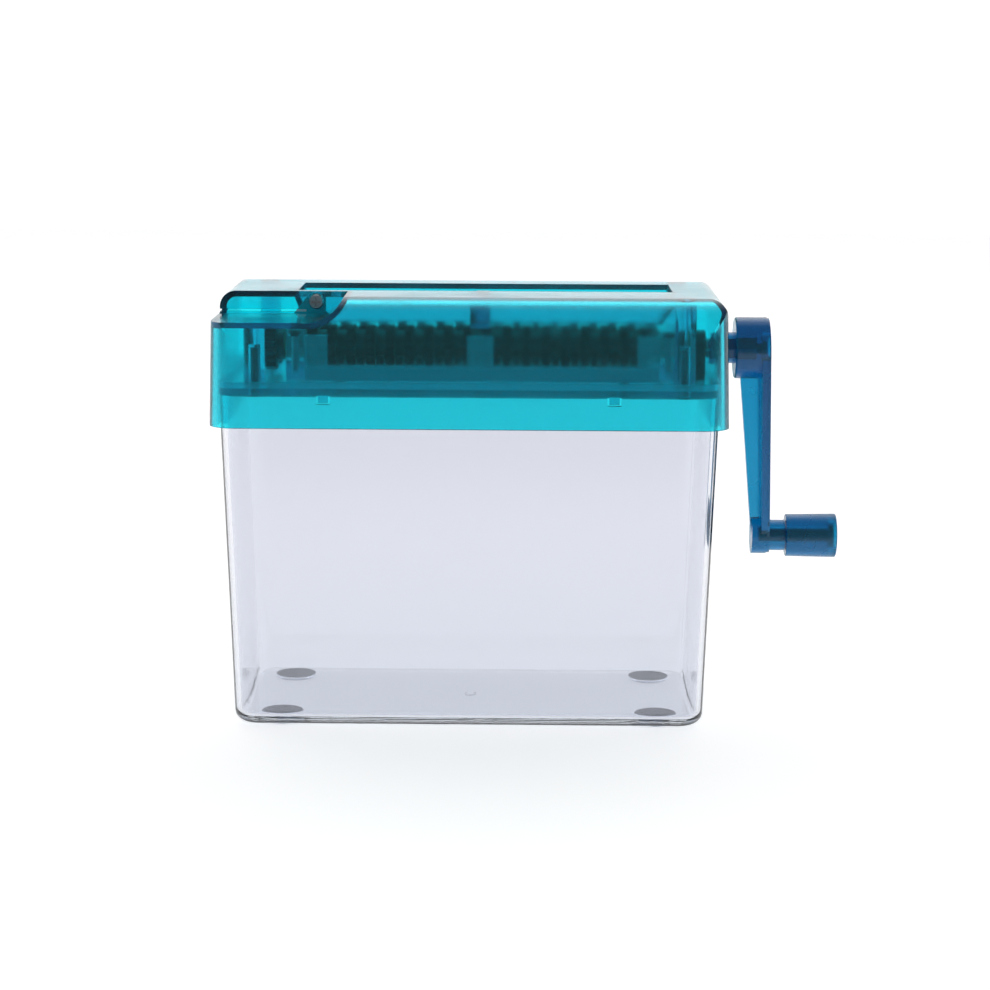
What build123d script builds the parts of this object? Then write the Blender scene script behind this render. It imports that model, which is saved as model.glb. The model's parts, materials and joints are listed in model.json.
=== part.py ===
"""Hand-crank desktop paper shredder: clear bin, translucent head, cutter pair and crank.

Frame: X runs towards the crank, Y towards the back, Z up. The origin is on the table, under the
middle of the head. Millimetres.
"""
from build123d import *
import os
from math import acos, cos, radians, sin, sqrt, tan

os.makedirs("parts", exist_ok=True)

# ---------------------------------------------------------------- driving dimensions
# heights above the table
BIN_BASE_Z = 0.8            # underside of the bin, lifted by its rubber feet
SKIRT_Z = 93.8              # lower edge of the head
PLATE_Z = 103.4             # underside of the chassis plate
RIM_Z = PLATE_Z - 0.3       # rim of the bin
TOP_Z = 132.0               # flat top of the head
AXIS_Z = 114.6              # both cutter shafts
KNOB_Z = 55.6               # knob axis, crank hanging down

# waste bin
BIN_BASE_SIZE = (144.2, 68.0)
BIN_RIM_SIZE = (150.8, 74.6)
BIN_CORNER_R = 8.0
BIN_WALL = 2.0
BIN_FLOOR = 2.4
BIN_BOTTOM_R, CAVITY_BOTTOM_R = 3.5, 2.0
FOOT_R = 6.2
FOOT_SEAT = 1.4             # how far a foot is let into the bin's floor
FOOT_GAP = 0.3
FOOT_EDGE = 0.4             # chamfer of the foot's lower edge
FOOT_RING = (3.0, 4.0)      # groove in the foot's underside
FOOT_RING_DEPTH = 0.5
GATE_R, GATE_H = 1.8, 0.4   # gate mark under the middle of the floor
FOOT_X, FOOT_Y = 57.8, 23.0

# head cover
HEAD_SIZE = (156.0, 80.0)   # at the skirt's lower edge
HEAD_DRAFT = 1.5            # degrees
HEAD_CORNER_R = 8.0
HEAD_ROLL_R = 13.0          # front and back edges of the top
HEAD_END_R = 5.0            # left and right edges of the top
WALL = 2.0

# hopper in the head's top
MOUTH_X = (-53.1, 61.9)
MOUTH_Y = (-7.2, 16.8)
THROAT_X = (-50.2, 57.4)
THROAT_Y = (0.2, 5.3)
THROAT_Z = 121.9
HOPPER_WALL = 1.8
RIB_X, RIB_W = 3.0, 6.0     # rib between the hopper and the head's front
GUIDE_RIB_X, GUIDE_RIB_W = 3.6, 4.0

# letter-opener step, top left front corner
SHELF_Z = 125.2
STEP_BACK_Y = -10.2
STEP_ARC_X, STEP_ARC_Z, STEP_ARC_R = -48.5, 137.0, 11.9
SLIT_Z = (125.6, 126.4)
SLIT_END_X = -50.5
BLADE_T = 0.5
BLADE_Y = STEP_BACK_Y + WALL + 0.02
BLADE_LOW_Z, BLADE_HIGH_Z = 124.4, 130.0
BLADE_X = (-55.0, -50.4, -44.6)     # low end and high end of the slanted edge, square end
BLADE_SCREW_X, BLADE_SCREW_Z = -47.4, 128.9

# cutter pair
SHAFT_PITCH = 13.5
FRONT_Y = -4.0
REAR_Y = FRONT_Y + SHAFT_PITCH
NIP_Y = (FRONT_Y + REAR_Y) / 2
SLOT_W = 3.0                # one strip width
SLOTS = 36                  # discs of the two shafts take turns
CUTTER_X = -50.4            # left end of the first slot
DISC_R, DISC_T = 7.2, 2.7
SPACER_R = 4.6
SPACER_T = 2 * SLOT_W - DISC_T
DISC_NOTCHES, NOTCH_R = 20, 0.45
HEX_PLAY = 0.02             # between a hexagon and the piece pressed on it
HEX_R = 3.464               # hexagon of the shafts, 6 mm across flats
END_HEX_R = 2.887           # hexagon at the gear and the crank, 5 mm across flats
JOURNAL_R = 3.0
RUN_CLEARANCE = 0.07

# chassis
WALL_Y = (-20.0, -18.0)     # front wall of the cutter box
PILLAR_TOP_Z = 119.4
SILL_Z = 110.4
WINDOWS_X = ((-43.4, -0.9), (7.1, 50.9))
LEFT_WALL_X = (-56.5, -51.0)
RIGHT_WALL_X = (58.1, 63.6)
BEARING_Y = (-14.5, 20.0)
PLATE_T = 2.0
TAB_X, TAB_SIZE = 43.4, (3.0, 1.6, 2.0)
TAB_PLAY = 1.2              # the bin rim's notch is wider than the tab
BOSS_X, BOSS_Y, BOSS_R = 65.0, 25.0, 3.2
PLATE_GAP = 0.3             # between the chassis and the cover's walls
RIM_H, RIM_T = 2.0, 1.5
OUTLET_Y = (-11.8, 2 * NIP_Y + 11.8)
OUTLET_X = (CUTTER_X - 0.2, CUTTER_X + SLOTS * SLOT_W + 0.2)
COMB_SCREW_X = (-40.0, 47.0)
COMB_SCREW_Y = (-15.1, 2 * NIP_Y + 15.1)

# stripper combs
COMB_Y = (-17.7, -12.5)
COMB_TOP_Z = 109.2
FINGER_T = 2.1
FINGER_Z = (107.7, 112.0)
FINGER_ROOT = 1.0           # how far a finger is rooted in its bar
FINGER_SLOPE = 2.6
COMB_GAP = 0.5              # between a finger and the spacer above it

# bushes, keepers and screws
BUSH_R = 4.75
BUSH_FLANGE_R, BUSH_FLANGE_T = 5.6, 0.8
KEEPER_TOP_Z = 120.3
KEEPER_SCREW_Y = (-11.9, 17.4)
KEEPER_EDGE_R, BLOCK_EDGE_R = 3.0, 4.0
SCREW_R, SCREW_FIT = 1.2, 0.05
SCREW_HEAD_R, SCREW_HEAD_T = 2.4, 1.6
CROSS_L, CROSS_W, CROSS_DEPTH = 2.6, 0.6, 0.8
HEAD_TAPER = 15             # degrees
COVER_SCREW_L = 13.0
COMB_SCREW_L = 5.2
KEEPER_SCREW_L = 10.5
BLADE_SCREW_L = 2.45
HOLE_SPARE = 1.0            # how much deeper a hole is than the screw in it
KEEPER_SEAT_Z = KEEPER_TOP_Z - 1.8
BLOCK_X, BLOCK_HALF_Y, BLOCK_TOP_Z = (67.5, 72.2), 6.5, 120.2

# shaft ends and clips
HEX_X = (CUTTER_X - 0.2, CUTTER_X + SLOTS * SLOT_W + 0.3)
SHAFT_LEFT_X = -66.6
CLIP_X, CLIP_T = -64.9, 0.7
CLIP_R, GROOVE_R = 4.3, 2.1
CLIP_MOUTH = 2.8

# gears
MODULE = 0.9
TEETH = 15
PRESSURE = radians(20)
ADDENDUM, DEDENDUM = 0.72, 0.95
BACKLASH = 0.12             # taken off each tooth at the pitch circle
GEAR_X = (-63.6, -60.0)
COLLAR_R, COLLAR_T = 4.4, 2.2

# crank
CRANK_X = (81.4, 92.1)      # hub, inner and outer face
HUB_R = 9.5
NECK_R = 4.8
NECK_START_X = 74.0
ARM_FOOT_X = 93.4           # outer face at the knob
ARM_INNER_X = (82.7, 87.9)  # inner edge at the hub and at the knob
FOOT_BOSS_R = 5.75
ARM_SKIN = 2.6
ARM_WEB_T = 3.0
ARM_STEP = 0.25             # hub and foot boss stand out past the arm's edge
STUB_R, STUB_END_X = 4.8, 98.3
KNOB_X = (98.6, 114.3)
KNOB_R = (6.6, 6.85)
SHAFT_END_X = 88.0          # blind end of the shaft's hexagon inside the hub
CRANK_SCREW_SEAT = 2.4      # depth of the screw's recess in the hub
PIN_R, PIN_HEAD_R, PIN_HEAD_T = 2.0, 3.6, 1.5
PIN_HEAD_X = KNOB_X[1] - 2.2
PIN_HOLE_X = 2.0            # depth of solid boss left behind the pin's hole
ROUND_STEP = 0.9            # hub and foot boss end short of the arm's outer face
EDGE = 0.4                  # chamfers and fillets of the crank's edges
HEAD_ROOM = 1.2             # around the screw's head in the hub


def save(builder, label):
    builder.part.label = label
    export_step(builder.part, f"parts/{label}.step")


def tapered_block(size0, z0, size1, z1, corner0, corner1):
    """Upright block with rounded corners whose outline changes evenly from z0 to z1."""
    with BuildPart() as block:
        with BuildSketch(Plane.XY.offset(z0)):
            RectangleRounded(*size0, corner0)
        with BuildSketch(Plane.XY.offset(z1)):
            RectangleRounded(*size1, corner1)
        loft()
    return block.part


def funnel(x_top, y_top, z_top, x_low, y_low, z_low):
    """Block with straight sides between two level rectangles, each given by its limits."""
    with BuildPart() as block:
        for (x0, x1), (y0, y1), z in ((x_low, y_low, z_low), (x_top, y_top, z_top)):
            with BuildSketch(Plane.XY.offset(z)):
                with Locations(((x0 + x1) / 2, (y0 + y1) / 2)):
                    Rectangle(x1 - x0, y1 - y0)
        loft()
    return block.part


def box_between(x, y, z):
    """Plain box from three pairs of limits."""
    with BuildPart() as block:
        with BuildSketch(Plane.XY.offset(z[0])):
            with Locations(((x[0] + x[1]) / 2, (y[0] + y[1]) / 2)):
                Rectangle(x[1] - x[0], y[1] - y[0])
        extrude(amount=z[1] - z[0])
    return block.part


def x_plane(x, y=0.0, z=0.0):
    """Sketch plane facing +X, with its own x along +Y and its own y along +Z."""
    return Plane(origin=(x, y, z), x_dir=(0, 1, 0), z_dir=(1, 0, 0))


def y_plane(y):
    """Sketch plane facing +Y, with its own x along -X and its own y along +Z."""
    return Plane(origin=(0, y, 0), x_dir=(-1, 0, 0), z_dir=(0, 1, 0))


def head_lean(z):
    """How far each side of the head has leant in at height z."""
    return (z - SKIRT_Z) * tan(radians(HEAD_DRAFT))


def head_solid(inset, z_low):
    """Outer form of the head, moved inwards by inset on every side, from z_low to the top."""
    z_top = TOP_Z - inset
    half_l, half_d = HEAD_SIZE[0] / 2 - inset, HEAD_SIZE[1] / 2 - inset
    profiles = ((x_plane(-HEAD_SIZE[0]), half_d, HEAD_ROLL_R - inset),
                (y_plane(-HEAD_SIZE[0]), half_l, HEAD_END_R - inset))
    with BuildPart() as form:
        with BuildSketch(Plane.XY.offset(z_low)):
            RectangleRounded(2 * (half_l - head_lean(z_low)), 2 * (half_d - head_lean(z_low)),
                             HEAD_CORNER_R - inset)
        extrude(amount=z_top - z_low, taper=HEAD_DRAFT)
        for plane, half, radius in profiles:
            low, high = half - head_lean(z_low), half - head_lean(z_top)
            with BuildSketch(plane) as profile:
                with BuildLine():
                    Polyline((-low, z_low), (low, z_low), (high, z_top), (-high, z_top), close=True)
                make_face()
                fillet(profile.vertices().group_by(Axis.Y)[-1], radius)
            extrude(amount=2 * HEAD_SIZE[0], mode=Mode.INTERSECT)
    return form.part


def step_space(grow, y_back):
    """Letter-opener step, grown by grow: open to the front, the left and the top."""
    reach = HEAD_SIZE[0]
    with BuildPart() as space:
        with BuildSketch(y_plane(-HEAD_SIZE[1])):
            with Locations((-STEP_ARC_X, SHELF_Z - grow)):
                Rectangle(reach, reach, align=(Align.MIN, Align.MIN))
            with Locations((-STEP_ARC_X, STEP_ARC_Z)):
                Circle(STEP_ARC_R + grow)
        extrude(amount=HEAD_SIZE[1] + y_back)
    return space.part


def pan_screw(origin, direction, length):
    """Pan-head screw: the underside of its head is at origin, its shank runs along direction."""
    plane = Plane(origin=origin, z_dir=direction)
    with BuildPart() as screw:
        with BuildSketch(plane):
            Circle(SCREW_R)
        extrude(amount=length)
        with BuildSketch(plane):
            Circle(SCREW_HEAD_R)
        extrude(amount=-SCREW_HEAD_T, taper=HEAD_TAPER)
        with BuildSketch(plane.offset(-SCREW_HEAD_T)):
            Rectangle(CROSS_L, CROSS_W)
            Rectangle(CROSS_W, CROSS_L)
        extrude(amount=CROSS_DEPTH, mode=Mode.SUBTRACT)
    return screw.part


def screw_group(label, origins, direction, length):
    """Identical screws in one node, each its own solid."""
    screws = [pan_screw(origin, direction, length) for origin in origins]
    group = Compound(label=label, children=screws)
    export_step(group, f"parts/{label}.step")


def x_cylinder(radius, x0, x1, y, z):
    """Round bar along X."""
    with BuildPart() as bar:
        with BuildSketch(x_plane(x0, y, z)):
            Circle(radius)
        extrude(amount=x1 - x0)
    return bar.part


# ---------------------------------------------------------------- waste bin and feet
bin_outer = tapered_block(BIN_BASE_SIZE, BIN_BASE_Z, BIN_RIM_SIZE, RIM_Z, BIN_CORNER_R, BIN_CORNER_R)
bin_lean = (BIN_RIM_SIZE[0] - BIN_BASE_SIZE[0]) / 2 / (RIM_Z - BIN_BASE_Z)
cavity_grow = 2 * bin_lean * BIN_FLOOR
bin_cavity = tapered_block(
    [size - 2 * BIN_WALL + cavity_grow for size in BIN_BASE_SIZE], BIN_BASE_Z + BIN_FLOOR,
    [size - 2 * BIN_WALL for size in BIN_RIM_SIZE], RIM_Z, BIN_CORNER_R - BIN_WALL, BIN_CORNER_R - BIN_WALL)

with BuildPart() as cavity:
    add(bin_cavity)
    fillet(cavity.edges().group_by(Axis.Z)[0], CAVITY_BOTTOM_R)

with BuildPart() as waste_bin:
    add(bin_outer)
    fillet(waste_bin.edges().group_by(Axis.Z)[0], BIN_BOTTOM_R)
    add(cavity.part, mode=Mode.SUBTRACT)
    with BuildSketch(Plane.XY.offset(BIN_BASE_Z)):
        with GridLocations(2 * FOOT_X, 2 * FOOT_Y, 2, 2):
            Circle(FOOT_R + FOOT_GAP)
    extrude(amount=FOOT_SEAT, mode=Mode.SUBTRACT)
    with BuildSketch(Plane.XY.offset(RIM_Z)):
        with GridLocations(2 * TAB_X, BIN_RIM_SIZE[1], 2, 2):
            Rectangle(TAB_SIZE[0] + TAB_PLAY, 4 * BIN_WALL)
    extrude(amount=RIM_Z - PLATE_Z - TAB_SIZE[2], mode=Mode.SUBTRACT)
    with BuildSketch(Plane.XY.offset(BIN_BASE_Z)):
        Circle(GATE_R)
    extrude(amount=-GATE_H, taper=20)
save(waste_bin, "waste_bin")

for x_name, x_sign in (("left", -1), ("right", 1)):
    for y_name, y_sign in (("front", -1), ("rear", 1)):
        with BuildPart() as foot:
            with BuildSketch() as disc:
                with Locations((x_sign * FOOT_X, y_sign * FOOT_Y)):
                    Circle(FOOT_R)
            extrude(amount=BIN_BASE_Z + FOOT_SEAT)
            chamfer(foot.edges().group_by(Axis.Z)[0], FOOT_EDGE)
            with BuildSketch():
                with Locations((x_sign * FOOT_X, y_sign * FOOT_Y)):
                    Circle(FOOT_RING[1])
                    Circle(FOOT_RING[0], mode=Mode.SUBTRACT)
            extrude(amount=FOOT_RING_DEPTH, mode=Mode.SUBTRACT)
        save(foot, f"foot_{y_name}_{x_name}")

# ---------------------------------------------------------------- head cover
cover_outer = head_solid(0, SKIRT_Z)
cover_inner = head_solid(WALL, SKIRT_Z - 1)
step_liner = step_space(WALL, STEP_BACK_Y + WALL)
step_cut = step_space(0, STEP_BACK_Y)
hopper_liner = funnel([MOUTH_X[0] - HOPPER_WALL, MOUTH_X[1] + HOPPER_WALL],
                      [MOUTH_Y[0] - HOPPER_WALL, MOUTH_Y[1] + HOPPER_WALL], TOP_Z,
                      [THROAT_X[0] - HOPPER_WALL, THROAT_X[1] + HOPPER_WALL],
                      [THROAT_Y[0] - HOPPER_WALL, THROAT_Y[1] + HOPPER_WALL], THROAT_Z)
mouth_space = funnel(MOUTH_X, MOUTH_Y, TOP_Z, THROAT_X, THROAT_Y, THROAT_Z)
rib_block = box_between((RIB_X - RIB_W / 2, RIB_X + RIB_W / 2), (-22.0, THROAT_Y[0]), (THROAT_Z + 0.3, TOP_Z))
guide_rib = box_between((GUIDE_RIB_X - GUIDE_RIB_W / 2, GUIDE_RIB_X + GUIDE_RIB_W / 2),
                        (MOUTH_Y[0] - 1, THROAT_Y[0]), (THROAT_Z, TOP_Z - 0.6))

with BuildPart() as lining:
    add(step_liner)
    add(hopper_liner)
    add(rib_block)
    with BuildSketch(Plane.XY.offset(PLATE_Z + PLATE_T)):
        with GridLocations(2 * BOSS_X, 2 * BOSS_Y, 2, 2):
            Circle(BOSS_R)
    extrude(amount=TOP_Z - PLATE_Z - PLATE_T)
    add(cover_outer, mode=Mode.INTERSECT)

with BuildPart() as top_cover:
    add(cover_outer)
    add(cover_inner, mode=Mode.SUBTRACT)
    add(lining.part)
    add(step_cut, mode=Mode.SUBTRACT)
    add(mouth_space, mode=Mode.SUBTRACT)
    add(guide_rib)
    with BuildSketch(Plane.XY.offset(PLATE_Z)):
        with GridLocations(2 * BOSS_X, 2 * BOSS_Y, 2, 2):
            Circle(SCREW_R + SCREW_FIT)
    extrude(amount=COVER_SCREW_L + HOLE_SPARE, mode=Mode.SUBTRACT)
    with BuildSketch(x_plane(HEAD_SIZE[0] / 2 - 8, FRONT_Y, AXIS_Z)):
        Circle(NECK_R + 0.6)
    extrude(amount=12, mode=Mode.SUBTRACT)
    add(box_between((-HEAD_SIZE[0], SLIT_END_X), (STEP_BACK_Y - 0.2, STEP_BACK_Y + 5.0), SLIT_Z),
        mode=Mode.SUBTRACT)
    with BuildSketch(y_plane(STEP_BACK_Y - 1)):
        with Locations((-BLADE_SCREW_X, BLADE_SCREW_Z)):
            Circle(SCREW_R + SCREW_FIT)
    extrude(amount=BLADE_SCREW_L + HOLE_SPARE, mode=Mode.SUBTRACT)
save(top_cover, "top_cover")

# letter-opener blade behind the step's back wall, its slanted edge across the slit
with BuildPart() as letter_blade:
    with BuildSketch(y_plane(BLADE_Y)):
        with BuildLine():
            Polyline((-BLADE_X[2], BLADE_LOW_Z), (-BLADE_X[2], BLADE_HIGH_Z), (-BLADE_X[1], BLADE_HIGH_Z),
                     (-BLADE_X[0], BLADE_LOW_Z), close=True)
        make_face()
        with Locations((-BLADE_SCREW_X, BLADE_SCREW_Z)):
            Circle(SCREW_R + SCREW_FIT, mode=Mode.SUBTRACT)
    extrude(amount=BLADE_T)
save(letter_blade, "letter_blade")
screw_group("blade_screw", [(BLADE_SCREW_X, STEP_BACK_Y, BLADE_SCREW_Z)], (0, 1, 0), BLADE_SCREW_L)

# ---------------------------------------------------------------- chassis
plate_half = [size / 2 - head_lean(PLATE_Z + PLATE_T + RIM_H) - WALL - PLATE_GAP for size in HEAD_SIZE]
rear_wall_y = (2 * NIP_Y - WALL_Y[1], 2 * NIP_Y - WALL_Y[0])
wall_x = (LEFT_WALL_X[1] + 0.5, RIGHT_WALL_X[0] - 0.5)

with BuildPart() as chassis:
    with BuildSketch(Plane.XY.offset(PLATE_Z)):
        RectangleRounded(2 * plate_half[0], 2 * plate_half[1], HEAD_CORNER_R - WALL)
    extrude(amount=PLATE_T)
    with BuildSketch(Plane.XY.offset(PLATE_Z + PLATE_T)):
        RectangleRounded(2 * plate_half[0], 2 * plate_half[1], HEAD_CORNER_R - WALL)
        RectangleRounded(2 * (plate_half[0] - RIM_T), 2 * (plate_half[1] - RIM_T),
                         HEAD_CORNER_R - WALL - RIM_T, mode=Mode.SUBTRACT)
    extrude(amount=RIM_H)
    for wall_y in (WALL_Y, rear_wall_y):
        add(box_between(wall_x, wall_y, (PLATE_Z, PILLAR_TOP_Z)))
        for window_x in WINDOWS_X:
            add(box_between(window_x, wall_y, (SILL_Z, PILLAR_TOP_Z)), mode=Mode.SUBTRACT)
    for bearing_x in (LEFT_WALL_X, RIGHT_WALL_X):
        add(box_between(bearing_x, BEARING_Y, (PLATE_Z, AXIS_Z)))
        for shaft_y in (FRONT_Y, REAR_Y):
            add(x_cylinder(BUSH_R + SCREW_FIT, *bearing_x, shaft_y, AXIS_Z), mode=Mode.SUBTRACT)
        with BuildSketch(Plane.XY.offset(AXIS_Z)):
            with Locations(*[(sum(bearing_x) / 2, y) for y in KEEPER_SCREW_Y]):
                Circle(SCREW_R + SCREW_FIT)
        extrude(amount=-8, mode=Mode.SUBTRACT)
    add(box_between(OUTLET_X, OUTLET_Y, (PLATE_Z - 1, PLATE_Z + PLATE_T + 0.5)), mode=Mode.SUBTRACT)
    with BuildSketch(Plane.XY.offset(PLATE_Z)):
        with GridLocations(2 * BOSS_X, 2 * BOSS_Y, 2, 2):
            Circle(SCREW_R + 0.4)
        with Locations(*[(x, y) for x in COMB_SCREW_X for y in COMB_SCREW_Y]):
            Circle(SCREW_R + 0.4)
    extrude(amount=PLATE_T + 1, mode=Mode.SUBTRACT)
    with BuildSketch(Plane.XY.offset(PLATE_Z)):
        with GridLocations(2 * TAB_X, 2 * plate_half[1] - TAB_SIZE[1], 2, 2):
            Rectangle(TAB_SIZE[0], TAB_SIZE[1])
    extrude(amount=-TAB_SIZE[2])
save(chassis, "chassis")

screw_group("cover_screws", [(x, y, PLATE_Z) for x in (-BOSS_X, BOSS_X) for y in (-BOSS_Y, BOSS_Y)],
            (0, 0, 1), COVER_SCREW_L)
screw_group("comb_screws", [(x, y, PLATE_Z) for x in COMB_SCREW_X for y in COMB_SCREW_Y],
            (0, 0, 1), COMB_SCREW_L)

# ---------------------------------------------------------------- stripper combs
def make_comb(label, shaft_y, outward, slots):
    """Comb beside one shaft: a bar with a finger under the spacer of every given slot."""
    def across(distance):
        return NIP_Y + outward * distance

    bar_near, bar_far = NIP_Y - COMB_Y[1], NIP_Y - COMB_Y[0]
    reach = SHAFT_PITCH / 2 + 0.4
    with BuildPart() as comb:
        add(box_between((CUTTER_X, CUTTER_X + SLOTS * SLOT_W), sorted((across(bar_near), across(bar_far))),
                        (PLATE_Z + PLATE_T, COMB_TOP_Z)))
        for slot in slots:
            middle = CUTTER_X + (slot + 0.5) * SLOT_W
            with BuildSketch(x_plane(middle - FINGER_T / 2)):
                with BuildLine():
                    Polyline((across(bar_near + FINGER_ROOT), FINGER_Z[0]), (across(reach), FINGER_Z[0]),
                             (across(reach), FINGER_Z[1]), (across(bar_near - FINGER_SLOPE), FINGER_Z[1]),
                             (across(bar_near), COMB_TOP_Z - 0.2),
                             (across(bar_near + FINGER_ROOT), COMB_TOP_Z - 0.2), close=True)
                make_face()
                with Locations((shaft_y, AXIS_Z)):
                    Circle(SPACER_R + COMB_GAP, mode=Mode.SUBTRACT)
            extrude(amount=FINGER_T)
        with BuildSketch(Plane.XY.offset(PLATE_Z + PLATE_T)):
            with Locations(*[(x, across(COMB_SCREW_Y[1] - NIP_Y)) for x in COMB_SCREW_X]):
                Circle(SCREW_R + SCREW_FIT)
        extrude(amount=COMB_SCREW_L - PLATE_T + 0.1, mode=Mode.SUBTRACT)
    save(comb, label)


make_comb("front_comb", FRONT_Y, -1, range(1, SLOTS - 1, 2))
make_comb("rear_comb", REAR_Y, 1, range(2, SLOTS, 2))

# ---------------------------------------------------------------- bushes and keepers
for x_name, bearing_x, outward in (("left", LEFT_WALL_X, -1), ("right", RIGHT_WALL_X, 1)):
    face = bearing_x[0] if outward < 0 else bearing_x[1]
    flange = sorted((face, face + outward * BUSH_FLANGE_T))
    for y_name, shaft_y in (("front", FRONT_Y), ("rear", REAR_Y)):
        with BuildPart() as bush:
            add(x_cylinder(BUSH_R, *bearing_x, shaft_y, AXIS_Z))
            add(x_cylinder(BUSH_FLANGE_R, *flange, shaft_y, AXIS_Z))
            add(x_cylinder(JOURNAL_R + RUN_CLEARANCE, -HEAD_SIZE[0], HEAD_SIZE[0], shaft_y, AXIS_Z),
                mode=Mode.SUBTRACT)
        save(bush, f"bush_{y_name}_{x_name}")
    with BuildPart() as keeper:
        add(box_between(bearing_x, BEARING_Y, (AXIS_Z, KEEPER_TOP_Z)))
        fillet(keeper.edges().filter_by(Axis.X).group_by(Axis.Z)[-1], KEEPER_EDGE_R)
        for shaft_y in (FRONT_Y, REAR_Y):
            add(x_cylinder(BUSH_R + SCREW_FIT, *bearing_x, shaft_y, AXIS_Z), mode=Mode.SUBTRACT)
        with BuildSketch(Plane.XY.offset(AXIS_Z)):
            with Locations(*[(sum(bearing_x) / 2, y) for y in KEEPER_SCREW_Y]):
                Circle(SCREW_R + SCREW_FIT)
        extrude(amount=8, mode=Mode.SUBTRACT)
        with BuildSketch(Plane.XY.offset(KEEPER_SEAT_Z)):
            with Locations(*[(sum(bearing_x) / 2, y) for y in KEEPER_SCREW_Y]):
                Circle(SCREW_HEAD_R + 0.1)
        extrude(amount=4, mode=Mode.SUBTRACT)
    save(keeper, f"keeper_{x_name}")

screw_group("keeper_screws", [(sum(x) / 2, y, KEEPER_SEAT_Z) for x in (LEFT_WALL_X, RIGHT_WALL_X)
                              for y in KEEPER_SCREW_Y], (0, 0, -1), KEEPER_SCREW_L)

with BuildPart() as crank_bearing_block:
    add(box_between(BLOCK_X, (FRONT_Y - BLOCK_HALF_Y, FRONT_Y + BLOCK_HALF_Y),
                    (PLATE_Z + PLATE_T, BLOCK_TOP_Z)))
    fillet(crank_bearing_block.edges().filter_by(Axis.X).group_by(Axis.Z)[-1], BLOCK_EDGE_R)
    add(x_cylinder(JOURNAL_R + RUN_CLEARANCE, *BLOCK_X, FRONT_Y, AXIS_Z), mode=Mode.SUBTRACT)
save(crank_bearing_block, "crank_bearing_block")

# ---------------------------------------------------------------- shafts, cutters and spacers
def make_shaft(label, shaft_y, right_x, hex_end):
    """Hexagon bar with round journals, a gear end on the left and hex_end long hexagon on the right."""
    with BuildPart() as shaft:
        with BuildSketch(x_plane(HEX_X[0], shaft_y, AXIS_Z)):
            RegularPolygon(HEX_R, 6)
        extrude(amount=HEX_X[1] - HEX_X[0])
        add(x_cylinder(JOURNAL_R, GEAR_X[1] + 0.6, right_x - hex_end, shaft_y, AXIS_Z))
        with BuildSketch(x_plane(SHAFT_LEFT_X, shaft_y, AXIS_Z)):
            RegularPolygon(END_HEX_R, 6)
        extrude(amount=right_x - SHAFT_LEFT_X if hex_end else GEAR_X[1] + 1 - SHAFT_LEFT_X)
        with BuildSketch(x_plane(CLIP_X - CLIP_T / 2 - 0.05, shaft_y, AXIS_Z)):
            Circle(END_HEX_R + 1)
            Circle(GROOVE_R, mode=Mode.SUBTRACT)
        extrude(amount=CLIP_T + 0.1, mode=Mode.SUBTRACT)
        if hex_end:
            with BuildSketch(x_plane(right_x, shaft_y, AXIS_Z)):
                Circle(SCREW_R + SCREW_FIT)
            extrude(amount=-7, mode=Mode.SUBTRACT)
    save(shaft, label)


def make_stack(label, shaft_y, slots, radius, thickness, notches):
    """Discs or spacers on one shaft, one solid in each given slot."""
    solids = []
    for slot in slots:
        middle = CUTTER_X + (slot + 0.5) * SLOT_W
        with BuildPart() as ring:
            with BuildSketch(x_plane(middle - thickness / 2, shaft_y, AXIS_Z)):
                Circle(radius)
                RegularPolygon(HEX_R + HEX_PLAY, 6, mode=Mode.SUBTRACT)
                if notches:
                    with PolarLocations(radius + 0.1, notches):
                        Circle(NOTCH_R, mode=Mode.SUBTRACT)
            extrude(amount=thickness)
        solids.append(ring.part)
    export_step(Compound(label=label, children=solids), f"parts/{label}.step")


def involute_point(base_r, radius, turn):
    """Point of an involute at the given radius, turned by turn radians."""
    roll = sqrt((radius / base_r) ** 2 - 1)
    angle = roll - acos(base_r / radius) + turn
    return (radius * cos(angle), radius * sin(angle))


def make_gear(label, shaft_y):
    """Spur gear with involute teeth, one tooth pointing along +Y."""
    pitch_r = MODULE * TEETH / 2
    base_r = pitch_r * cos(PRESSURE)
    tip_r, root_r = pitch_r + ADDENDUM, pitch_r - DEDENDUM
    half_tooth = (MODULE * radians(180) - BACKLASH * 2) / 4 / pitch_r
    start = -half_tooth - (tan(PRESSURE) - PRESSURE)
    radii = [base_r + (tip_r - base_r) * step / 5 for step in range(6)]
    low_side = [involute_point(base_r, radius, start) for radius in radii]
    foot = (root_r * 0.9 * cos(start), root_r * 0.9 * sin(start))
    with BuildPart() as gear:
        with BuildSketch(x_plane(GEAR_X[0], shaft_y, AXIS_Z)):
            Circle(root_r)
            with BuildSketch(mode=Mode.PRIVATE) as tooth:
                with BuildLine():
                    Line(foot, low_side[0])
                    Spline(*low_side)
                    ThreePointArc(low_side[-1], (tip_r, 0), (low_side[-1][0], -low_side[-1][1]))
                    Spline(*[(x, -y) for x, y in reversed(low_side)])
                    Line((low_side[0][0], -low_side[0][1]), (foot[0], -foot[1]))
                    Line((foot[0], -foot[1]), foot)
                make_face()
            with PolarLocations(0, TEETH):
                add(tooth.sketch)
            RegularPolygon(END_HEX_R + HEX_PLAY, 6, mode=Mode.SUBTRACT)
        extrude(amount=GEAR_X[1] - GEAR_X[0])
        with BuildSketch(x_plane(GEAR_X[1], shaft_y, AXIS_Z)):
            Circle(COLLAR_R)
            Circle(JOURNAL_R + HEX_PLAY, mode=Mode.SUBTRACT)
        extrude(amount=COLLAR_T)
    save(gear, label)


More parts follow.
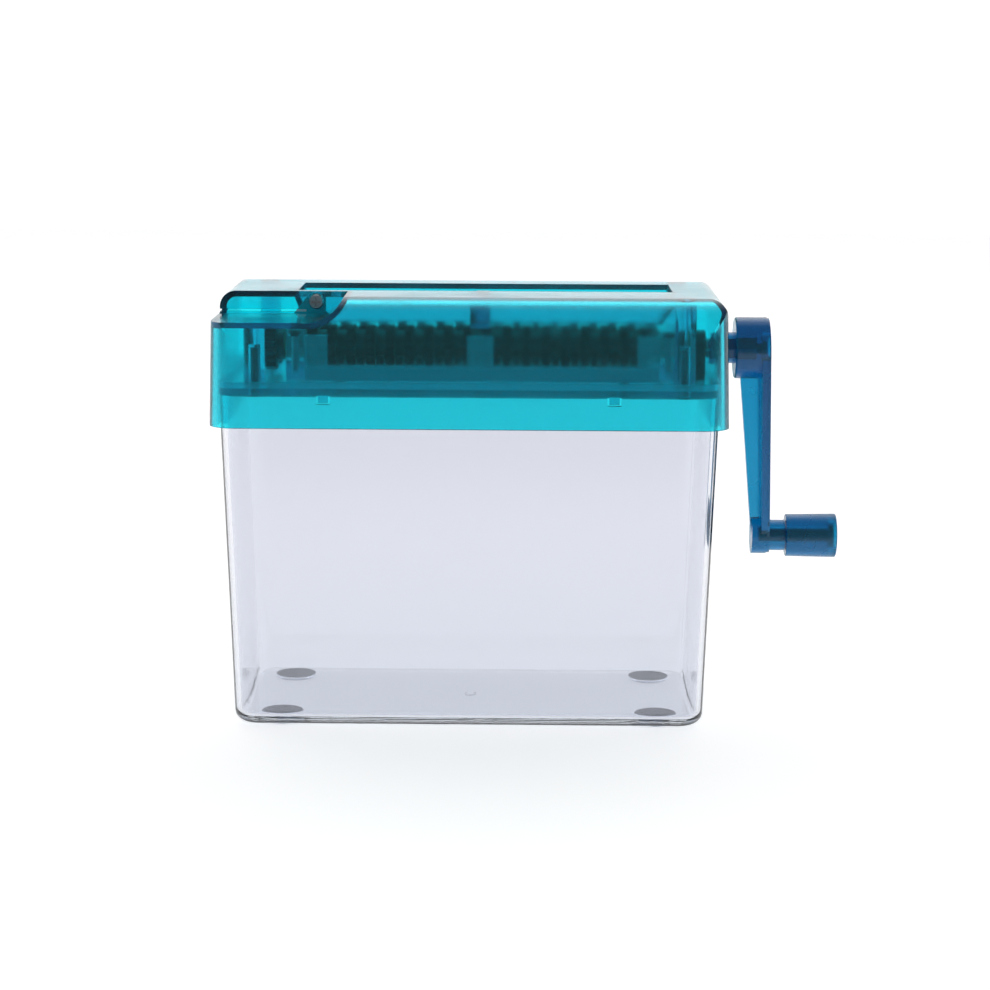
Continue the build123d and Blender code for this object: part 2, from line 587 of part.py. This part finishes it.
def make_clip(label, shaft_y):
    """Open retaining clip in the shaft's end groove."""
    with BuildPart() as clip:
        with BuildSketch(x_plane(CLIP_X - CLIP_T / 2, shaft_y, AXIS_Z)):
            Circle(CLIP_R)
            Circle(GROOVE_R + HEX_PLAY, mode=Mode.SUBTRACT)
            with Locations((0, CLIP_R)):
                Rectangle(CLIP_MOUTH, 2 * CLIP_R, mode=Mode.SUBTRACT)
        extrude(amount=CLIP_T)
    save(clip, label)


make_shaft("crank_shaft", FRONT_Y, SHAFT_END_X, SHAFT_END_X - NECK_START_X)
make_shaft("rear_shaft", REAR_Y, RIGHT_WALL_X[1] + 2.0, 0)
for name, shaft_y, first in (("front", FRONT_Y, 0), ("rear", REAR_Y, 1)):
    make_stack(f"{name}_cutter_discs", shaft_y, range(first, SLOTS, 2), DISC_R, DISC_T, DISC_NOTCHES)
    make_stack(f"{name}_spacers", shaft_y, range(1 - first, SLOTS, 2), SPACER_R, SPACER_T, 0)
    make_gear(f"{name}_gear", shaft_y)
    make_clip(f"{name}_shaft_clip", shaft_y)

# ---------------------------------------------------------------- crank arm
hub_out, hub_in = CRANK_X[1], CRANK_X[0]
z_high, z_low = AXIS_Z + HUB_R + 1, KNOB_Z - FOOT_BOSS_R - 1
outer_lean = (ARM_FOOT_X - hub_out) / (AXIS_Z - KNOB_Z)
inner_lean = (ARM_INNER_X[1] - ARM_INNER_X[0]) / (AXIS_Z - KNOB_Z)


def outer_x(z):
    """Outer face of the crank arm at height z."""
    return hub_out + (AXIS_Z - z) * outer_lean


def inner_x(z):
    """Inner edge of the crank arm's flanges at height z."""
    return ARM_INNER_X[0] + (AXIS_Z - z) * inner_lean


def arm_outline():
    """Side view of the arm, from its hub to its foot."""
    top, low = HUB_R - ARM_STEP, FOOT_BOSS_R - ARM_STEP
    turn = acos((top - low) / (AXIS_Z - KNOB_Z))
    with BuildSketch(x_plane(0, FRONT_Y)) as outline:
        with BuildLine():
            ends = [(sign * radius * sin(turn), centre - radius * cos(turn))
                    for centre, radius in ((AXIS_Z, top), (KNOB_Z, low)) for sign in (-1, 1)]
            Polyline(ends[0], ends[1], ends[3], ends[2], close=True)
        make_face()
        with Locations((0, AXIS_Z)):
            Circle(top)
        with Locations((0, KNOB_Z)):
            Circle(low)
    return outline.sketch


def lean_block(x_in, x_out):
    """Slab between two leaning faces, each given as a function of height."""
    with BuildPart() as slab:
        with BuildSketch(y_plane(-HEAD_SIZE[1])):
            with BuildLine():
                Polyline((-x_in(z_low), z_low), (-x_out(z_low), z_low), (-x_out(z_high), z_high),
                         (-x_in(z_high), z_high), close=True)
            make_face()
        extrude(amount=2 * HEAD_SIZE[1])
    return slab.part


with BuildPart() as arm_skin:
    extrude(arm_outline(), amount=HEAD_SIZE[0])
    add(lean_block(lambda z: outer_x(z) - ARM_SKIN, outer_x), mode=Mode.INTERSECT)

with BuildPart() as arm_web:
    extrude(arm_outline(), amount=HEAD_SIZE[0])
    add(lean_block(inner_x, lambda z: outer_x(z) - 1), mode=Mode.INTERSECT)
    add(box_between((0, HEAD_SIZE[0]), (FRONT_Y - ARM_WEB_T / 2, FRONT_Y + ARM_WEB_T / 2), (z_low, z_high)),
        mode=Mode.INTERSECT)

with BuildPart() as crank_arm:
    add(arm_skin.part)
    add(arm_web.part)
    add(x_cylinder(HUB_R, hub_in, hub_out - ROUND_STEP, FRONT_Y, AXIS_Z))
    chamfer(crank_arm.faces().sort_by(Axis.X)[0].edges(), EDGE)
    add(x_cylinder(NECK_R, NECK_START_X, hub_in, FRONT_Y, AXIS_Z))
    add(x_cylinder(FOOT_BOSS_R, inner_x(KNOB_Z), ARM_FOOT_X - ROUND_STEP, FRONT_Y, KNOB_Z))
    add(x_cylinder(STUB_R, ARM_FOOT_X - 2, STUB_END_X, FRONT_Y, KNOB_Z))
    with BuildSketch(x_plane(0, FRONT_Y, AXIS_Z)):
        RegularPolygon(END_HEX_R + HEX_PLAY, 6)
    extrude(amount=SHAFT_END_X + 0.1, mode=Mode.SUBTRACT)
    with BuildSketch(x_plane(SHAFT_END_X, FRONT_Y, AXIS_Z)):
        Circle(SCREW_R + 0.25)
    extrude(amount=10, mode=Mode.SUBTRACT)
    with BuildSketch(x_plane(hub_out - CRANK_SCREW_SEAT, FRONT_Y, AXIS_Z)):
        Circle(SCREW_HEAD_R + HEAD_ROOM)
    extrude(amount=10, mode=Mode.SUBTRACT)
    with BuildSketch(x_plane(inner_x(KNOB_Z) + PIN_HOLE_X, FRONT_Y, KNOB_Z)):
        Circle(PIN_R + HEX_PLAY)
    extrude(amount=20, mode=Mode.SUBTRACT)
save(crank_arm, "crank_arm")

screw_group("crank_screw", [(hub_out - CRANK_SCREW_SEAT, FRONT_Y, AXIS_Z)], (-1, 0, 0),
            hub_out - CRANK_SCREW_SEAT - SHAFT_END_X + 6)

# ---------------------------------------------------------------- knob and its pin
with BuildPart() as crank_knob:
    with BuildSketch(Plane(origin=(0, FRONT_Y, KNOB_Z), x_dir=(1, 0, 0), z_dir=(0, 0, 1))):
        with BuildLine():
            Polyline((KNOB_X[0], 0), (KNOB_X[1], 0), (KNOB_X[1], KNOB_R[1]), (KNOB_X[0], KNOB_R[0]),
                     close=True)
        make_face()
    revolve(axis=Axis((0, FRONT_Y, KNOB_Z), (1, 0, 0)))
    fillet(crank_knob.edges().filter_by(GeomType.CIRCLE).sort_by(Axis.X)[-1], EDGE)
    fillet(crank_knob.edges().filter_by(GeomType.CIRCLE).sort_by(Axis.X)[0], 0.3)
    add(x_cylinder(PIN_R + RUN_CLEARANCE + 0.01, *KNOB_X, FRONT_Y, KNOB_Z), mode=Mode.SUBTRACT)
    add(x_cylinder(PIN_HEAD_R + 0.5, PIN_HEAD_X - 0.3, KNOB_X[1], FRONT_Y, KNOB_Z), mode=Mode.SUBTRACT)
save(crank_knob, "crank_knob")

with BuildPart() as knob_pin:
    add(x_cylinder(PIN_R, inner_x(KNOB_Z) + PIN_HOLE_X + 0.5, PIN_HEAD_X, FRONT_Y, KNOB_Z))
    add(x_cylinder(PIN_HEAD_R, PIN_HEAD_X, PIN_HEAD_X + PIN_HEAD_T, FRONT_Y, KNOB_Z))
    chamfer(knob_pin.edges().sort_by(Axis.X)[-1], EDGE)
save(knob_pin, "knob_pin")
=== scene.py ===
"""Hand-crank desktop paper shredder: materials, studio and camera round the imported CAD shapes."""
import json
from math import cos, radians, sin

import bmesh
import bpy
from mathutils import Matrix, Vector


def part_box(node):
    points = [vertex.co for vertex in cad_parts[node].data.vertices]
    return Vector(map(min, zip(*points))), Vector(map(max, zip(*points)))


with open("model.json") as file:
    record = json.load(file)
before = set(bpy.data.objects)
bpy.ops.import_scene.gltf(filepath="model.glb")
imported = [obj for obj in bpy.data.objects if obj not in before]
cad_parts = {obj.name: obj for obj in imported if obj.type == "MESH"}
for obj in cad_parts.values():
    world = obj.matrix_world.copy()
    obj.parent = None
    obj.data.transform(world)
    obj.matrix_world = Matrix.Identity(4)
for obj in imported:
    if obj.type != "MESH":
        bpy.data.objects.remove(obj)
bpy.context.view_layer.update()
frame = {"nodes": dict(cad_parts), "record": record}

MM = 0.001
WHITE = (1.0, 1.0, 1.0, 1)

# surface relief, metres
GRAIN = 0.00002             # of the coloured clear plastics
BIN_GRAIN = 0.000005
RELIEF_GAIN = 8             # the slow waves are this much taller than the grain
METAL_MARKS = 0.00006
SPARK_GRAIN = 0.00008

# stripper combs: the fingers, which are this far below the comb's top, are painted near-black: painted
# shade for the dark gaps between the cutter discs
FINGER_DEPTH = 3.0 * MM
FINGER_SHADE = (0.001, 0.006, 0.009, 1)

# studio, metres
FLOOR_X = (-6.0, 6.0)
FLOOR_Y = (-8.0, 2.0)
PAPER = ((0.93, 0.93, 0.94, 1), (0.95, 0.95, 0.955, 1))
GREY_PAPER = (0.42, 0.42, 0.43, 1)
GREY_Y = (-0.75, -0.26)     # the paper goes from grey to white between these
PAPER_GLOW = 0.45
ROOM_Y = (0.0, 0.5)         # Y of the direction in which the surroundings go from dim to bright
ROOM_STRENGTH = (0.25, 1.1)


# ---------------------------------------------------------------- node helpers
class Tree:
    """A material's node tree with short calls for the nodes used here."""

    def __init__(self, name):
        self.material = bpy.data.materials.new(name)
        self.material.use_nodes = True
        self.nodes = self.material.node_tree.nodes
        self.links = self.material.node_tree.links
        self.shader = self.nodes["Principled BSDF"]
        self.output = self.nodes["Material Output"]

    def node(self, kind, **values):
        """New node with its properties and sockets set by name; a socket may be given as a link."""
        made = self.nodes.new(kind)
        for key, value in values.items():
            if hasattr(made, key):
                setattr(made, key, value)
            else:
                self.put(made.inputs[key.replace("_", " ")], value)
        return made

    def put(self, socket, value):
        """Set a socket to a plain value or link an output to it."""
        if isinstance(value, bpy.types.NodeSocket):
            self.links.new(value, socket)
        else:
            socket.default_value = value

    def noise(self, scale, detail=3.0, roughness=0.55, stretch=(1, 1, 1)):
        """Noise over the object's own coordinates, stretched along any axis."""
        place = self.node("ShaderNodeTexCoord").outputs["Object"]
        mapping = self.node("ShaderNodeMapping", Vector=place, Scale=stretch)
        texture = self.node("ShaderNodeTexNoise", Vector=mapping.outputs["Vector"], Scale=scale,
                            Detail=detail, Roughness=roughness)
        return texture.outputs["Fac"]

    def along(self, axis):
        """One of the object's own coordinates, in metres."""
        place = self.node("ShaderNodeTexCoord").outputs["Object"]
        return self.node("ShaderNodeSeparateXYZ", Vector=place).outputs[axis]

    def ranged(self, value, low, high, from_low=0.3, from_high=0.7):
        """A texture's value spread between low and high."""
        node = self.node("ShaderNodeMapRange", Value=value)
        node.inputs["From Min"].default_value = from_low
        node.inputs["From Max"].default_value = from_high
        node.inputs["To Min"].default_value = low
        node.inputs["To Max"].default_value = high
        return node.outputs["Result"]

    def mixed(self, factor, first, second):
        """Colour between first and second."""
        node = self.node("ShaderNodeMix", data_type="RGBA")
        colour_a, colour_b = [socket for socket in node.inputs if socket.type == "RGBA"]
        self.put(node.inputs["Factor"], factor)
        self.put(colour_a, first)
        self.put(colour_b, second)
        return next(socket for socket in node.outputs if socket.type == "RGBA")

    def bump(self, height, strength, distance):
        """Bump normal from a height value."""
        return self.node("ShaderNodeBump", Height=height, Strength=strength,
                         Distance=distance).outputs["Normal"]

    def scratches(self, scale, stretch):
        """Fine hairline scratches: thin bands of a stretched noise."""
        value = self.noise(scale, detail=2.0, stretch=stretch)
        return self.ranged(value, 0.0, 1.0, from_low=0.63, from_high=0.67)


def translucent(name, tint, absorb, density, ior, roughness, body=0.0, shadow=(1, 1, 1), specular=0.5,
                grain=GRAIN):
    """Clear or coloured moulded plastic: light is coloured by the depth of plastic that it crosses.

    body is the share of light that the plastic scatters; shadow is the colour of light let through
    to the surfaces behind.
    """
    tree = Tree(name)
    shader = tree.shader
    flow = tree.noise(38.0, detail=2.0)
    fine = tree.noise(900.0, detail=2.0)
    lines = tree.scratches(120.0, (1.0, 6.0, 0.35))
    rough = tree.node("ShaderNodeMath", operation="ADD")
    tree.put(rough.inputs[0], tree.ranged(flow, roughness * 0.6, roughness * 1.5))
    tree.put(rough.inputs[1], tree.ranged(lines, 0.0, 0.05, 0.0, 1.0))
    shader.inputs["Base Color"].default_value = (*tint, 1)
    tree.put(shader.inputs["Roughness"], rough.outputs[0])
    shader.inputs["IOR"].default_value = ior
    shader.inputs["Transmission Weight"].default_value = 1.0 - body
    shader.inputs["Specular IOR Level"].default_value = specular
    height = tree.node("ShaderNodeMath", operation="ADD")
    tree.put(height.inputs[0], flow)
    tree.put(height.inputs[1], tree.ranged(fine, 0.0, 0.05))
    tree.put(shader.inputs["Normal"], tree.bump(height.outputs[0], 0.25, grain * RELIEF_GAIN))
    path = tree.node("ShaderNodeLightPath")
    clear = tree.node("ShaderNodeBsdfTransparent", Color=(*shadow, 1))
    mix = tree.node("ShaderNodeMixShader")
    tree.put(mix.inputs[0], path.outputs["Is Shadow Ray"])
    tree.put(mix.inputs[1], shader.outputs[0])
    tree.put(mix.inputs[2], clear.outputs[0])
    tree.put(tree.output.inputs["Surface"], mix.outputs[0])
    volume = tree.node("ShaderNodeVolumeAbsorption", Color=(*absorb, 1), Density=density)
    tree.put(tree.output.inputs["Volume"], volume.outputs[0])
    return tree.material


def metal(name, colour, dark, roughness, stretch, scale=160.0):
    """Bare metal with drawn or turned marks along one direction and darker oiled patches."""
    tree = Tree(name)
    shader = tree.shader
    marks = tree.noise(scale, detail=4.0, stretch=stretch)
    patches = tree.noise(55.0, detail=3.0)
    shader.inputs["Metallic"].default_value = 1.0
    surface = tree.mixed(tree.ranged(patches, 0.0, 1.0), (*colour, 1), (*dark, 1))
    tree.put(shader.inputs["Base Color"], surface)
    tree.put(shader.inputs["Roughness"], tree.ranged(marks, roughness * 0.7, roughness * 1.5))
    tree.put(shader.inputs["Normal"], tree.bump(marks, 0.3, METAL_MARKS))
    return tree.material


def moulded(name, colour, worn, roughness, scale=420.0, shade_from=None):
    """Solid moulded plastic with a fine spark-eroded grain, painted near-black above a given height as
    painted shade.
    """
    tree = Tree(name)
    shader = tree.shader
    grain = tree.noise(scale, detail=4.0)
    patches = tree.noise(60.0, detail=2.0)
    surface = tree.mixed(tree.ranged(patches, 0.0, 1.0), (*colour, 1), (*worn, 1))
    if shade_from is not None:
        # painted shade: the colour fades to near-black over the 1 mm above the given height
        shade_mask = tree.ranged(tree.along("Z"), 0.0, 1.0, shade_from, shade_from + MM)
        surface = tree.mixed(shade_mask, surface, FINGER_SHADE)
    tree.put(shader.inputs["Base Color"], surface)
    tree.put(shader.inputs["Roughness"], tree.ranged(grain, roughness * 0.8, roughness * 1.2))
    tree.put(shader.inputs["Normal"], tree.bump(grain, 0.35, SPARK_GRAIN))
    return tree.material


MATERIALS = {
    "clear_bin": translucent(
        "clear_bin", tint=(0.80, 0.812, 0.858), absorb=(0.6, 0.66, 0.7), density=8.0, ior=1.55,
        roughness=0.02, shadow=(0.97, 0.97, 0.98), grain=BIN_GRAIN),
    "cyan_cover": translucent(
        "cyan_cover", tint=(0.025, 0.90, 0.96), absorb=(0.0, 0.42, 0.60), density=120.0, ior=1.42,
        roughness=0.14, body=0.02, shadow=(0.8, 0.98, 0.99), specular=0.3),
    "cyan_chassis": translucent(
        "cyan_chassis", tint=(0.01, 0.76, 0.85), absorb=(0.0, 0.70, 0.80), density=80.0, ior=1.42,
        roughness=0.15, body=0.20, shadow=(0.8, 0.98, 0.99), specular=0.3),
    "crank_blue": translucent(
        "crank_blue", tint=(0.002, 0.41, 0.64), absorb=(0.0, 0.65, 0.80), density=400.0, ior=1.45,
        roughness=0.22, body=0.14, shadow=(0.05, 0.4, 0.65), specular=0.3),
    # the combs' near-black fingers are painted shade
    "comb_teal": moulded(
        "comb_teal", (0.008, 0.40, 0.48), (0.01, 0.46, 0.54), 0.45,
        shade_from=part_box("front_comb")[1].z - FINGER_DEPTH),
    "dark_block": moulded("dark_block", (0.002, 0.012, 0.018), (0.003, 0.018, 0.026), 0.45),
    "spacer_plastic": moulded("spacer_plastic", (0.012, 0.014, 0.018), (0.02, 0.024, 0.03), 0.5),
    "gear_plastic": moulded("gear_plastic", (0.008, 0.024, 0.04), (0.012, 0.035, 0.05), 0.35),
    "cutter_steel": metal("cutter_steel", (0.05, 0.053, 0.058), (0.015, 0.016, 0.018), 0.42, (8, 1, 1)),
    "shaft_steel": metal("shaft_steel", (0.42, 0.43, 0.45), (0.22, 0.225, 0.24), 0.3, (0.2, 6, 6)),
    "screw_steel": metal("screw_steel", (0.10, 0.11, 0.125), (0.05, 0.055, 0.065), 0.35, (3, 3, 3)),
    "blade_steel": metal("blade_steel", (0.80, 0.82, 0.85), (0.62, 0.64, 0.68), 0.45, (1, 1, 8)),
    "bush_bronze": metal("bush_bronze", (0.55, 0.36, 0.16), (0.3, 0.19, 0.08), 0.45, (2, 2, 2)),
    "foot_rubber": translucent(
        "foot_rubber", tint=(0.70, 0.77, 0.88), absorb=(0.3, 0.36, 0.45), density=70.0, ior=1.45,
        roughness=0.04, body=0.05, shadow=(0.85, 0.87, 0.9)),
}

# nodes that don't wear their own slot's material
SPECIAL_LOOKS = {"front_comb": "comb_teal", "rear_comb": "comb_teal", "letter_blade": "blade_steel",
                 "blade_screw": "shaft_steel"}

for row in frame["record"]["subparts"]:
    node = frame["nodes"][row["node"]]
    slot = SPECIAL_LOOKS.get(row["node"], row["material_slot"])
    node.data.materials.clear()
    node.data.materials.append(MATERIALS[slot])


# ---------------------------------------------------------------- studio
def floor_sheet(name, across, deep):
    """Large flat sheet at table height, between two limits across and two in depth."""
    (left, right), (front, back) = across, deep
    mesh = bmesh.new()
    corners = ((left, front), (right, front), (right, back), (left, back))
    mesh.faces.new([mesh.verts.new((x, y, 0)) for x, y in corners])
    data = bpy.data.meshes.new(name)
    mesh.to_mesh(data)
    mesh.free()
    made = bpy.data.objects.new(name, data)
    bpy.context.scene.collection.objects.link(made)
    return made


def stage_material():
    """Matt white paper sweep, lit from beneath, that turns grey in front of the object."""
    tree = Tree("studio_paper")
    fibre = tree.noise(700.0, detail=3.0)
    shader = tree.shader
    white = tree.ranged(tree.along("Y"), 0.0, 1.0, *GREY_Y)
    white.node.interpolation_type = "SMOOTHSTEP"
    paper = tree.mixed(tree.ranged(fibre, 0.0, 1.0), *PAPER)
    tree.put(shader.inputs["Base Color"], tree.mixed(white, GREY_PAPER, paper))
    shader.inputs["Roughness"].default_value = 0.9
    shader.inputs["Emission Color"].default_value = WHITE
    glow = tree.node("ShaderNodeMath", operation="MULTIPLY")
    tree.put(glow.inputs[0], white)
    tree.put(glow.inputs[1], PAPER_GLOW)
    tree.put(shader.inputs["Emission Strength"], glow.outputs[0])
    return tree.material


floor = floor_sheet("studio_floor", FLOOR_X, FLOOR_Y)
floor.data.materials.append(stage_material())


def area_light(name, place, target, size, power):
    """Soft box aimed at a point."""
    lamp = bpy.data.lights.new(name, "AREA")
    lamp.shape = "RECTANGLE"
    lamp.size, lamp.size_y = size
    lamp.energy = power
    made = bpy.data.objects.new(name, lamp)
    made.location = place
    made.rotation_euler = (Vector(target) - Vector(place)).to_track_quat("-Z", "Y").to_euler()
    bpy.context.scene.collection.objects.link(made)
    return made


area_light("key_behind", (0.0, 1.0, 0.95), (0, 0.2, 0), (2.6, 0.7), 3.4)
area_light("fill_right", (1.1, -0.2, 0.5), (0, 0, 0.08), (0.3, 0.8), 2.0)
area_light("fill_left", (-1.1, -0.1, 0.5), (0, 0, 0.08), (0.3, 0.8), 1.6)


def studio_world():
    """White surroundings behind and above the object, a dimmer room in front of it."""
    made = bpy.data.worlds.new("studio_world")
    made.use_nodes = True
    nodes, links = made.node_tree.nodes, made.node_tree.links
    place = nodes.new("ShaderNodeTexCoord")
    parts = nodes.new("ShaderNodeSeparateXYZ")
    spread = nodes.new("ShaderNodeMapRange")
    spread.interpolation_type = "SMOOTHSTEP"
    limits = dict(zip(("From Min", "From Max", "To Min", "To Max"), ROOM_Y + ROOM_STRENGTH))
    for name, value in limits.items():
        spread.inputs[name].default_value = value
    links.new(place.outputs["Generated"], parts.inputs[0])
    links.new(parts.outputs["Y"], spread.inputs["Value"])
    back = nodes["Background"]
    back.inputs["Color"].default_value = WHITE
    links.new(spread.outputs["Result"], back.inputs["Strength"])
    bpy.context.scene.world = made


studio_world()
bpy.context.scene.view_settings.view_transform = "Standard"


# ---------------------------------------------------------------- camera
def aim_camera(place, pitch, yaw, roll, lens):
    """Camera at the photograph's viewing angle: angles in degrees, pitch below the horizon."""
    data = bpy.data.cameras.new("camera")
    data.sensor_width = 36.0
    data.lens = lens
    data.clip_start, data.clip_end = 0.05, 30.0
    made = bpy.data.objects.new("camera", data)
    pitch, yaw, roll = radians(pitch), radians(yaw), radians(roll)
    ahead = Vector((sin(yaw) * cos(pitch), cos(yaw) * cos(pitch), -sin(pitch)))
    level = Vector((cos(yaw), -sin(yaw), 0))
    above = level.cross(ahead)
    right = level * cos(roll) + above * sin(roll)
    up = above * cos(roll) - level * sin(roll)
    turn = Matrix((right, up, -ahead)).transposed()
    made.matrix_world = Matrix.Translation(place) @ turn.to_4x4()
    bpy.context.scene.collection.objects.link(made)
    bpy.context.scene.camera = made


aim_camera(Vector((16.52, -762.46, 206.73)) * MM, pitch=10.387, yaw=-0.674, roll=0.284, lens=89.46)
